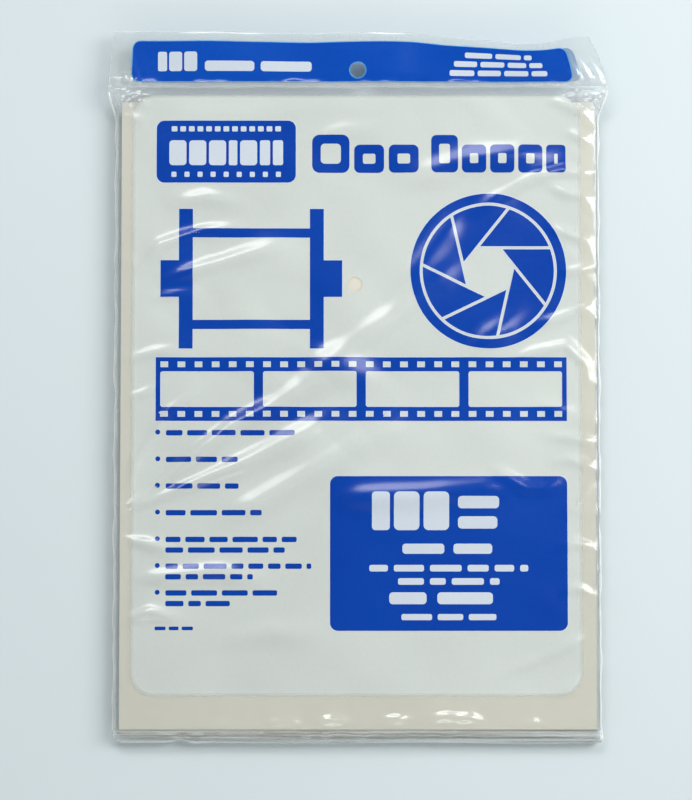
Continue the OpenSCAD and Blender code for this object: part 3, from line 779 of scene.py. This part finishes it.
def material(name):
    """The named finish, made once."""
    if name not in materials:
        look = bpy.context.scene.header_bag_look
        tint, rough = look.film_tint, look.film_roughness
        made = {
            "film": lambda: clear_film("blown_polyethylene_film", tint, look.film_haze, rough),
            "header_film": lambda: clear_film("blown_polyethylene_header", tint, look.header_haze, rough),
            "weld": lambda: clear_film("melted_polyethylene_weld", tint, look.weld_haze, 0.1, "#fafcfb"),
            "pages": stacked_pages,
            "white_panel": lambda: ink("white_ink_one_coat", look.white, "#ced4cf", 0.9),
            "white": lambda: ink("white_ink_two_coats", "#ccd5de", "#c3cdd8"),
            "blue": lambda: ink("blue_flexographic_ink", look.blue, "#0341a4"),
            "blue_header": lambda: ink("blue_header_ink", "#0043a9", "#034ab0"),
            "blue_pale": lambda: ink("blue_ink_behind_film", "#4997de", "#5aa3e2"),
        }
        materials[name] = made[name]()
    return materials[name]


# ---- Properties ----


def factor(name, description, default):
    """A property that is a share from 0 to 1."""
    return bpy.props.FloatProperty(
        name=name, description=description, default=default, min=0, max=1, subtype="FACTOR"
    )


class HeaderBagLook(bpy.types.PropertyGroup):
    """Finish of the film and the inks"""

    film_tint: bpy.props.StringProperty(
        name="Film tint",
        description="sRGB hex colour that one face of the film lets through",
        default="#fcfdfd",
    )
    film_haze: factor("Film haze", "How milky one face of the bag's film is", 0.04)
    header_haze: factor("Header haze", "How milky one face of the header's film is", 0.085)
    weld_haze: factor("Weld haze", "How milky one face of a melted bead is", 0.6)
    film_roughness: factor("Film roughness", "Roughness of the film", 0.16)
    white: bpy.props.StringProperty(
        name="White ink", description="sRGB hex colour of the panel", default="#c6ccc8"
    )
    blue: bpy.props.StringProperty(
        name="Blue ink", description="sRGB hex colour of the prints", default="#003a9d"
    )


class HeaderBagStudio(bpy.types.PropertyGroup):
    """Camera and light"""

    distance: bpy.props.FloatProperty(
        name="Distance", description="From the camera to the pack's front", default=1.365, unit="LENGTH"
    )
    tilt: bpy.props.FloatProperty(
        name="Tilt",
        description="How far the camera leans towards the foot",
        default=math.radians(4),
        subtype="ANGLE",
    )
    lens: bpy.props.FloatProperty(name="Lens", description="Focal length in millimetres", default=135.1)
    floor: bpy.props.StringProperty(
        name="Floor", description="sRGB hex colour of the floor", default="#cbd6d9"
    )


# ---- Films ----


def film_sheet(name, top_y, foot_y, level_z, sign, cell, steps):
    """One side of the bag from weld to weld and from the top down to the bottom fold.

    sign is 1 for the front film and -1 for the back film. Returns the sheet, still flat, and the function
    that hangs it."""
    inner_columns = round(2 * EDGE_X / cell)
    inner_rows = round((top_y - foot_y) / cell)
    piece, column, row = new_grid(name, inner_columns + 2 * steps, inner_rows + steps)
    # shares of the way down a draped side, closer together where the film turns
    shares = (np.arange(steps + 1) / steps) ** 1.3
    step_x = 2 * EDGE_X / inner_columns
    step_y = (top_y - foot_y) / inner_rows
    flat_x = -EDGE_X + (column - steps) * step_x
    flat_y = foot_y + (row - steps) * step_y
    points = np.stack([flat_x, flat_y, np.full(len(flat_x), level_z)], axis=1)
    write_points(piece, points)

    def hang():
        """Bends the flat sheet over the pages' edges, down to its welds and its fold, and creases it."""
        flat = read_points(piece)
        across = np.clip(flat[:, 0], -EDGE_X, EDGE_X)
        along = np.clip(flat[:, 1], foot_y, None)
        side = np.sign(flat[:, 0])
        right = (side > 0) * 1.0
        down_x = shares[np.clip(np.rint((np.abs(flat[:, 0]) - EDGE_X) / step_x), 0, steps).astype(int)]
        down_y = shares[np.clip(np.rint((foot_y - flat[:, 1]) / step_y), 0, steps).astype(int)]
        rim = rim_z(along, right)
        full = np.where(sign > 0, FRONT_Z - rim, rim - BACK_Z)
        out_x, drop_x, turn_x = drape(rim_out(along, right), full, down_x)
        out_y, drop_y, turn_y = drape(FOLD_OUT, DROP, down_y)
        drop = drop_x + drop_y - drop_x * drop_y / np.maximum(full, 1e-6)
        x = across + side * out_x
        y = along - out_y + fold_shift(x) * down_y
        z = level_z - sign * drop
        y = y + lean(z, y, foot_y) - lean(np.full_like(z, level_z), y, foot_y)
        x, y = round_corner(x, y)
        normal = np.stack(
            [
                side * np.sin(turn_x) * np.cos(turn_y),
                -np.sin(turn_y) * np.cos(turn_x),
                sign * np.cos(turn_x) * np.cos(turn_y),
            ],
            axis=1,
        )
        normal /= np.linalg.norm(normal, axis=1)[:, None]
        # the creases fade out towards the welds and the fold
        rimless = (1 - down_x**2) * (1 - down_y**2)
        if sign > 0:
            lift = film_lift(x, y)
        else:
            lift = 0.25 * puckers(y, EDGE_X - np.abs(x), PUCKERS_RIGHT) * (down_x > 0)
        place = np.stack([x, y, z], axis=1) + normal * (lift * rimless)[:, None]
        write_points(piece, place)

    return piece, hang


class HEADERBAG_OT_front_film(bpy.types.Operator):
    """Front film of the bag: the panel with its creases, the side walls and the bottom fold"""

    bl_idname = "header_bag.front_film"
    bl_label = "Front Film"

    def execute(self, context):
        piece, hang = film_sheet("front_film", SEAL_Y, FRONT_FOOT, FRONT_Z, 1, CELL, FRONT_STEPS)
        punch(piece, VENT, VENT_R)
        hang()
        thicken(piece, FILM)
        finish_piece(
            piece, "bag", "clear_film", material("film"),
            "front_panel", "bottom_wall", "bottom_corner_left", "bottom_corner_right",
            "wall_front_left", "wall_front_right", "shoulder_left", "shoulder_right",
        )
        return {"FINISHED"}


class HEADERBAG_OT_back_film(bpy.types.Operator):
    """Back film of the bag, flat on the table, with a free lip at the mouth"""

    bl_idname = "header_bag.back_film"
    bl_label = "Back Film"

    def execute(self, context):
        piece, hang = film_sheet("back_film", LIP_Y, BACK_FOOT, BACK_Z, -1, BACK_CELL, BACK_STEPS)
        hang()
        edit_all(piece)
        bpy.ops.mesh.flip_normals()
        deselect()
        thicken(piece, FILM)
        finish_piece(
            piece, "bag", "clear_film", material("film"),
            "back_panel", "wall_back_left", "wall_back_right", "mouth_corner_left", "mouth_corner_right",
        )
        return {"FINISHED"}


# Radii of the melted beads of the bag's sides, of the seam and of the header's sides, and their tubes' sides
SIDE_BEAD_R, SEAL_BEAD_R, HEADER_BEAD_R = 0.45, 0.5, 0.26
BEAD_SIDES = 8


def new_bead(name, path, radius, squash=1.0):
    """A melted bead along a path of points: a closed tube, thicker and thinner by turns."""
    piece, column, row = new_grid(name, BEAD_SIDES, len(path) - 1)
    path = np.asarray(path, float)
    ahead = np.gradient(path, axis=0)
    ahead /= np.linalg.norm(ahead, axis=1)[:, None]
    outward = np.cross(ahead, np.array([0.0, 0.0, 1.0]))
    outward /= np.linalg.norm(outward, axis=1)[:, None]
    upward = np.cross(outward, ahead)
    angle = 2 * math.pi * column / BEAD_SIDES
    thick = radius * (1 + 0.18 * np.sin(row * 0.9) + 0.12 * np.sin(row * 0.37 + 1))
    ring = (
        path[row]
        + outward[row] * (np.cos(angle) * thick)[:, None]
        + upward[row] * (np.sin(angle) * thick * squash)[:, None]
    )
    write_points(piece, ring)
    edit_all(piece)
    bpy.ops.mesh.remove_doubles(threshold=0.005 * MM)
    bpy.ops.mesh.select_all(action="DESELECT")
    bpy.ops.mesh.select_non_manifold()
    bpy.ops.mesh.edge_face_add()
    bpy.ops.mesh.select_all(action="SELECT")
    bpy.ops.mesh.normals_make_consistent(inside=False)
    deselect()
    return piece


class HEADERBAG_OT_welds(bpy.types.Operator):
    """Melted beads up both sides of the bag and along the header's seal"""

    bl_idname = "header_bag.welds"
    bl_label = "Welds"

    def execute(self, context):
        # each side's bead starts above the rounded corner of the bag and ends just below the seam
        low_y = (FRONT_FOOT + BACK_FOOT) / 2 - FOLD_OUT
        for name, side, start in (("left", -1, low_y + CORNER_R[0]), ("right", 1, low_y + 1.5)):
            along = np.arange(start, SEAM_Y - 1.4, 1.6)
            right = np.full_like(along, (side > 0) * 1.0)
            path = np.stack([side * (EDGE_X + rim_out(along, right)), along, rim_z(along, right)], axis=1)
            piece = new_bead(f"side_bead_{name}", path, SIDE_BEAD_R)
            finish_piece(piece, "bag", "weld_bead", material("weld"), f"side_weld_{name}")
        across = np.linspace(-BAG_X, BAG_X, 150)
        wave = 0.12 * np.sin(across / 9.0) + 0.08 * np.sin(across / 3.7)
        path = np.stack([across, SEAM_Y + wave, np.full_like(across, FRONT_Z + 0.12)], axis=1)
        seal = new_bead("header_seal_bead", path, SEAL_BEAD_R, squash=0.7)
        finish_piece(seal, "bag", "weld_bead", material("header_film"), "header_seal")
        return {"FINISHED"}


# ---- Header ----


def top_share(x):
    """Height of the header at a place across, as a share of its full height."""
    places, shares = zip(*TOP_EDGE)
    fine = np.linspace(-BAG_X, BAG_X, 400)
    heights = np.interp(fine, places, shares)
    width = 12
    padded = np.pad(heights, width, mode="edge")
    kernel = np.hanning(2 * width + 1)
    heights = np.convolve(padded, kernel / kernel.sum(), mode="valid")
    return np.interp(x, fine, heights)


def header_place(x, y, z):
    """Moves places of the flat header to where its waved film lies."""
    share = np.clip((y - HEADER_Y) / (TOP_Y - HEADER_Y), 0, 1)
    height = top_share(x)
    curl = smooth((x - 55) / (BAG_X - 55))
    lean_in = smooth((-x - 95) / (BAG_X - 95))
    # where the top edge comes low, the film has risen towards the eye, most at the curled right end
    lift = 12 * (1 - height) * share + 3.2 * curl * share
    # slow waves across, crinkles along the seam, plies that gape, and folds pinched into the seam's ends
    ripple = smooth(share / 0.25) * (
        0.45 * np.sin(x / 11.0 + 2.2 * share) + 0.25 * np.sin(x / 4.7 - 3 * share) * share + 0.7
    )
    seam = 0.35 * np.exp(-(((share - 0.07) / 0.05) ** 2)) * (1.2 + np.sin(x / 6.0) + 0.5 * np.sin(x / 1.7))
    ends = np.exp(-(((np.abs(x) - 106) / 7) ** 2)) * smooth(share / 0.1) * np.exp(-share / 0.3)
    gape = 0.5 * smooth(share) * (1 + np.sin(x / 13.0)) * np.clip(1 + (z - FRONT_Z) / PLY_GAP, 0, 1)
    pinch = 0.9 * ends * (1 + np.sin(x * 1.3 + share * 9))
    new_x = x - 8.5 * curl**2 * share**1.5 + 2.2 * lean_in * share
    new_y = HEADER_Y + (y - HEADER_Y) * (1 - (1 - height) * share**0.25)
    return np.stack([new_x, new_y, z + lift + ripple + seam + gape + pinch], axis=-1)


def wave_header(piece):
    """Lays a flat piece of the header on the waved film."""
    flat = read_points(piece)
    write_points(piece, header_place(flat[:, 0], flat[:, 1], flat[:, 2]))


class HEADERBAG_OT_header_film(bpy.types.Operator):
    """Header: the bag's film folded over at the top, with a punched hang hole"""

    bl_idname = "header_bag.header_film"
    bl_label = "Header Film"

    def execute(self, context):
        columns = len(HEADER_LINES[0]) - 1
        rows = len(HEADER_LINES[1]) - 1
        turn_steps = 6
        piece, column, row = new_grid("header_film", columns, 2 * rows + turn_steps)
        # the flat sheet: front ply up to the top, a turn, and the back ply down again
        up = np.clip(row / rows, 0, 1)
        down = np.clip((row - rows - turn_steps) / rows, 0, 1)
        turn = np.clip((row - rows) / turn_steps, 0, 1) * math.pi
        x = -HEADER_X + column * 2 * HEADER_X / columns
        y = HEADER_Y + (HEADER_TOP_Y - HEADER_Y) * (up - down)
        radius = PLY_GAP / 2
        middle_z = FRONT_Z - radius
        points = np.stack([x, y, np.zeros_like(x)], axis=1)
        points[:, 2] = FRONT_Z - radius * (1 - np.cos(turn))
        points[:, 1] += 0.35 * np.sin(turn)
        write_points(piece, points)
        punch(piece, HANG, HANG_R, lambda centres: centres[:, 2] > middle_z)
        punch(piece, HANG, HANG_R, lambda centres: centres[:, 2] < middle_z)
        wave_header(piece)
        thicken(piece, FILM)
        finish_piece(
            piece, "header", "clear_film", material("header_film"),
            "header_front_ply", "header_back_ply", "header_top_fold",
        )
        for name, side in (("left", -1), ("right", 1)):
            along = np.arange(HEADER_Y + 1.2, HEADER_TOP_Y, 1.3)
            path = header_place(np.full_like(along, side * HEADER_X), along, np.full_like(along, middle_z))
            bead = new_bead(f"header_bead_{name}", path, HEADER_BEAD_R)
            finish_piece(bead, "header", "weld_bead", material("header_film"), f"header_weld_{name}")
        return {"FINISHED"}


# ---- Print ----

# Step by which a coat of ink stands off the one under it, so that none cuts through another
LAYER = 0.04
# How many steps the coats on the bag lie off the film: the panel, white rims, blue prints, and white or
# window prints on the blue ones
PANEL_COAT, RIM_COAT, BLUE_COAT, TOP_COAT = 0.7, 1.4, 2.2, 3.0
# The same on the header: one coat under both plies, and the others farther off, since its film waves more
BACK_COAT, HEADER_RIM_COAT, HEADER_BLUE_COAT, HEADER_TOP_COAT = -1.0, 6.0, 8.0, 10.0
# How far a rim of pale ink shows round a blue print
RIM = 0.4


def lay_on_film(piece, layer):
    """Bends a flat print over the creased front film, `layer` steps off it."""
    flat = read_points(piece)
    flat[:, 2] += film_lift(flat[:, 0], flat[:, 1]) + layer * LAYER
    write_points(piece, flat)


def print_coat(name, source, layer, finish, body="bag", node=None, grow=0.0):
    """A coat of ink that follows the film: a copy of the CAD node of that name, or bars given as a list."""
    piece = copy_node(source, name) if isinstance(source, str) else join(name, source)
    if grow:
        spread(piece, grow)
    slice_along(piece, *(PANEL_LINES if body == "bag" else HEADER_LINES))
    if body == "bag":
        lay_on_film(piece, layer)
    else:
        flat = read_points(piece)
        flat[:, 2] += layer * LAYER
        write_points(piece, flat)
        wave_header(piece)
    slot = "white_ink" if finish.startswith("white") else "blue_ink"
    return finish_piece(piece, body, slot, material(finish), *([node] if node else []))


class HEADERBAG_OT_white_panel(bpy.types.Operator):
    """Milky white panel on the front film, under all the other prints"""

    bl_idname = "header_bag.white_panel"
    bl_label = "White Panel"

    def execute(self, context):
        print_coat("white_panel_coat", "white_panel", PANEL_COAT, "white_panel", node="white_panel")
        return {"FINISHED"}


BLUE_NODES = ("blue_block", "blue_plate", "aperture_print", "spool_print", "strip_print", "list_marks")


class HEADERBAG_OT_blue_prints(bpy.types.Operator):
    """Blue prints on the white panel, each with a thin rim of white ink"""

    bl_idname = "header_bag.blue_prints"
    bl_label = "Blue Prints"

    def execute(self, context):
        for node in BLUE_NODES:
            if node != "list_marks":
                print_coat(f"{node}_rim", node, RIM_COAT, "white", grow=RIM)
            print_coat(f"{node}_coat", node, BLUE_COAT, "blue", node=node)
        return {"FINISHED"}


# Height of the figures and of the title's tall blocks, and the share of it that low blocks have
TALL = 17.5
LOW = 0.74
# Share of its longest line that each entry of the list has, from the top, and the longest line itself
LIST_SHARES = (0.92, 0.55, 0.5, 0.66, 0.9, 1.0, 0.78)
LIST_LONG = 66
# Lines of the information block: (drop from the block's top, height, width, seed)
INFO_ROWS = (
    (35.2, 4.6, 42, 73),
    (43.2, 3.0, 72, 74),
    (49.2, 3.0, 46, 75),
    (58.0, 5.4, 54, 76),
    (65.2, 2.8, 43, 77),
)


class HEADERBAG_OT_text_bars(bpy.types.Operator):
    """Plain bars where a real pack has its lettering"""

    bl_idname = "header_bag.text_bars"
    bl_label = "Text Bars"

    def execute(self, context):
        z = white_high.z
        # title beside the plate
        left = plate_high.x + 7.5
        wide = block_high.x - left
        base = plate_low.y + 4.5
        second = left + wide * 0.47
        first_wide = wide * 0.42
        second_wide = wide * 0.53
        title = block_row(left, base, first_wide, TALL, z, (1.25, 1, 1), (1, LOW, LOW))
        title += block_row(second, base, second_wide, TALL, z, (1.1, 1, 1, 1, 0.8), (1, LOW, LOW, LOW, LOW))
        print_coat("title_blocks", title, BLUE_COAT, "blue")
        # a window in the title's blocks, one in each
        up = base + 4.2
        windows = block_row(left + 3.9, up, first_wide - 7.8, 9.2, z, (1.6, 1, 1), (1, 0.5, 0.5), 1.75)
        widths = (1.29, 1, 1, 1, 0.42)
        heights = (1, 0.5, 0.5, 0.5, 0.5)
        windows += block_row(second + 3.6, up, second_wide - 7.2, 9.2, z, widths, heights, 2.36)
        print_coat("title_windows", windows, TOP_COAT, "white_panel")
        # list beside its marks
        lines = []
        pitch = (marks_high.y - marks_low.y - 2.2) / 6
        first_x = marks_high.x + 2.6
        for k in range(7):
            y = marks_low.y + k * pitch - 0.4
            lines += word_bars(first_x, y, LIST_LONG * LIST_SHARES[6 - k], 2.4, z, 20 + k)
            # the lowest three entries run on to a second line
            if k < 3:
                lines += word_bars(first_x, y - 4.8, 60 * LIST_SHARES[k + 2], 2.4, z, 40 + k)
        lines += word_bars(marks_low.x, marks_low.y - 16.0, 20, 1.6, z, 60)
        print_coat("list_bars", lines, BLUE_COAT, "blue")
        # information block
        middle = (block_low.x + block_high.x) / 2
        top = block_high.y
        block = block_row(block_low.x + 19, top - 24.5, 35, TALL, z, (0.7, 1, 1), (1, 1, 1))
        block += word_bars(block_low.x + 58, top - 14.6, 30, 5.6, z, 71, (3, 4.8))
        block += word_bars(block_low.x + 58, top - 23.8, 24, 5.6, z, 72, (3, 4.8))
        for drop, height, width, seed in INFO_ROWS:
            block += word_bars(middle - width / 2, top - drop, width, height, z, seed)
        print_coat("block_bars", block, TOP_COAT, "white")
        # a row of blocks between two rows of perforations on the plate
        centre = (plate_low.x + plate_high.x) / 2
        plate = block_row(centre - 26, plate_low.y + 8.0, 52, 11.5, z, (1, 1, 1, 0.5, 1, 0.6, 0.6), (1,) * 7)
        plate += block_row(centre - 25, plate_high.y - 5.0, 50, 2.4, z, (1,) * 13, (1,) * 13, 0.5)
        plate += block_row(centre - 25, plate_low.y + 2.6, 50, 2.4, z, (1,) * 9, (1,) * 9, 1.6)
        print_coat("plate_bars", plate, TOP_COAT, "white")
        return {"FINISHED"}


class HEADERBAG_OT_header_prints(bpy.types.Operator):
    """Colour bands on both plies of the header, with plain bars on the front one"""

    bl_idname = "header_bag.header_prints"
    bl_label = "Header Prints"

    def execute(self, context):
        print_coat("back_band_coat", "back_band", BACK_COAT, "blue_pale", "header", "back_band")
        print_coat("front_band_rim", "front_band", HEADER_RIM_COAT, "blue_pale", "header", grow=RIM)
        print_coat("front_band_coat", "front_band", HEADER_BLUE_COAT, "blue_header", "header", "front_band")
        z = band_high.z
        left = band_low.x + 12.0
        bars = block_row(left, band_low.y + 4.6, 18, 9.0, z, (0.7, 1, 1), (1, 1, 1))
        bars += word_bars(left + 21.5, band_low.y + 4.6, 54, 4.8, z, 91, (4.5, 5.6), 0.6)
        middle = band_high.x - 34.0
        for offset, width, seed in ((12.4, 31, 92), (7.6, 41, 93), (2.8, 45, 94)):
            bars += word_bars(middle - width / 2, band_low.y + offset, width, 3.0, z, seed, (2.2, 4.4), 0.5)
        print_coat("header_bars", bars, HEADER_TOP_COAT, "white", "header")
        return {"FINISHED"}


# ---- Pages ----


class HEADERBAG_OT_pages(bpy.types.Operator):
    """Finish of the pages, which keep their CAD solids"""

    bl_idname = "header_bag.pages"
    bl_label = "Pages"

    def execute(self, context):
        for name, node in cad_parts.items():
            if name.startswith("pages_") or name.startswith("front_page"):
                finish = "white" if name == "front_page_label" else "pages"
                node.data.materials.clear()
                node.data.materials.append(material(finish))
        return {"FINISHED"}


# ---- Stage ----


# Soft lamps: name, place, width and height in metres, and watts
LAMPS = (
    ("key", (0.64, 0.24, 0.86), (0.38, 0.7), 7),
    ("top", (-0.25, 0.95, 1.2), (0.9, 0.34), 8.5),
    ("foot", (0.1, -1.1, 0.9), (1.1, 0.2), 2.4),
)
# The point on the pack's front that the camera looks at, in millimetres
CAMERA_AIM = (-5.4, -6.9, FRONT_Z)


def add_lamp(name, place, size, power):
    """A soft area lamp that looks at the middle of the pack."""
    deselect()
    bpy.ops.object.light_add(type="AREA", location=place)
    lamp = bpy.context.object
    lamp.name = name
    lamp.data.shape = "RECTANGLE"
    lamp.data.size, lamp.data.size_y = size
    lamp.data.energy = power
    lamp.rotation_euler = (-Vector(place)).to_track_quat("-Z", "Y").to_euler()


class HEADERBAG_OT_stage(bpy.types.Operator):
    """Floor, camera and soft studio light"""

    bl_idname = "header_bag.stage"
    bl_label = "Stage"

    def execute(self, context):
        studio = context.scene.header_bag_studio
        deselect()
        bpy.ops.mesh.primitive_plane_add(size=6, location=(0, 0, -0.0003))
        floor = context.object
        floor.name = "floor"
        floor.data.materials.append(painted("painted_board", studio.floor, "#d3dde0"))

        target = Vector(CAMERA_AIM) * MM
        away = Vector((0, -math.sin(studio.tilt), math.cos(studio.tilt))) * studio.distance
        bpy.ops.object.camera_add(location=target + away, rotation=(studio.tilt, 0, 0))
        camera = context.object
        camera.data.lens = studio.lens
        camera.data.clip_start = 0.05
        context.scene.camera = camera

        for lamp in LAMPS:
            add_lamp(*lamp)
        # the room is pale at the sides and dark overhead, where the level film mirrors it
        world = bpy.data.worlds.new("studio")
        context.scene.world = world
        world.use_nodes = True
        tree = world.node_tree
        tree.nodes.clear()
        ahead = add(tree, "TexCoord")
        height = add(tree, "SeparateXYZ", {0: ahead.outputs["Generated"]})
        ends = {"From Min": 0.6, "From Max": 0.96, "To Min": 0.62, "To Max": 0.1}
        level = add(tree, "MapRange", {"Value": height.outputs["Z"], **ends})
        sky = add(tree, "Background", {"Color": linear("#f3f6f7"), "Strength": level})
        add(tree, "OutputWorld", {"Surface": sky})
        context.scene.view_settings.view_transform = "Standard"
        return {"FINISHED"}


# ---- Add-on ----

steps = (
    HEADERBAG_OT_front_film,
    HEADERBAG_OT_back_film,
    HEADERBAG_OT_welds,
    HEADERBAG_OT_header_film,
    HEADERBAG_OT_white_panel,
    HEADERBAG_OT_blue_prints,
    HEADERBAG_OT_text_bars,
    HEADERBAG_OT_header_prints,
    HEADERBAG_OT_pages,
    HEADERBAG_OT_stage,
)


class HEADERBAG_PT_panel(bpy.types.Panel):
    """Sizes, finishes and the steps that build the bag"""

    bl_label = "Header Bag"
    bl_idname = "HEADERBAG_PT_panel"
    bl_space_type = "VIEW_3D"
    bl_region_type = "UI"
    bl_category = "Header Bag"

    def draw(self, context):
        for group in (context.scene.header_bag_look, context.scene.header_bag_studio):
            for name in group.__annotations__:
                self.layout.prop(group, name)
        for step in steps:
            self.layout.operator(step.bl_idname)


classes = (HeaderBagLook, HeaderBagStudio, *steps, HEADERBAG_PT_panel)


def register():
    """Registers the classes and hangs both property groups on the scene."""
    for each in classes:
        bpy.utils.register_class(each)
    bpy.types.Scene.header_bag_look = bpy.props.PointerProperty(type=HeaderBagLook)
    bpy.types.Scene.header_bag_studio = bpy.props.PointerProperty(type=HeaderBagStudio)


def unregister():
    """Takes back what register() did."""
    del bpy.types.Scene.header_bag_studio
    del bpy.types.Scene.header_bag_look
    for each in reversed(classes):
        bpy.utils.unregister_class(each)


def main():
    """Builds the bag piece by piece and sets the stage."""
    register()
    bpy.ops.header_bag.front_film()
    bpy.ops.header_bag.back_film()
    bpy.ops.header_bag.welds()
    bpy.ops.header_bag.header_film()
    bpy.ops.header_bag.white_panel()
    bpy.ops.header_bag.blue_prints()
    bpy.ops.header_bag.text_bars()
    bpy.ops.header_bag.header_prints()
    bpy.ops.header_bag.pages()
    bpy.ops.header_bag.stage()


if __name__ == "__main__":
    main()
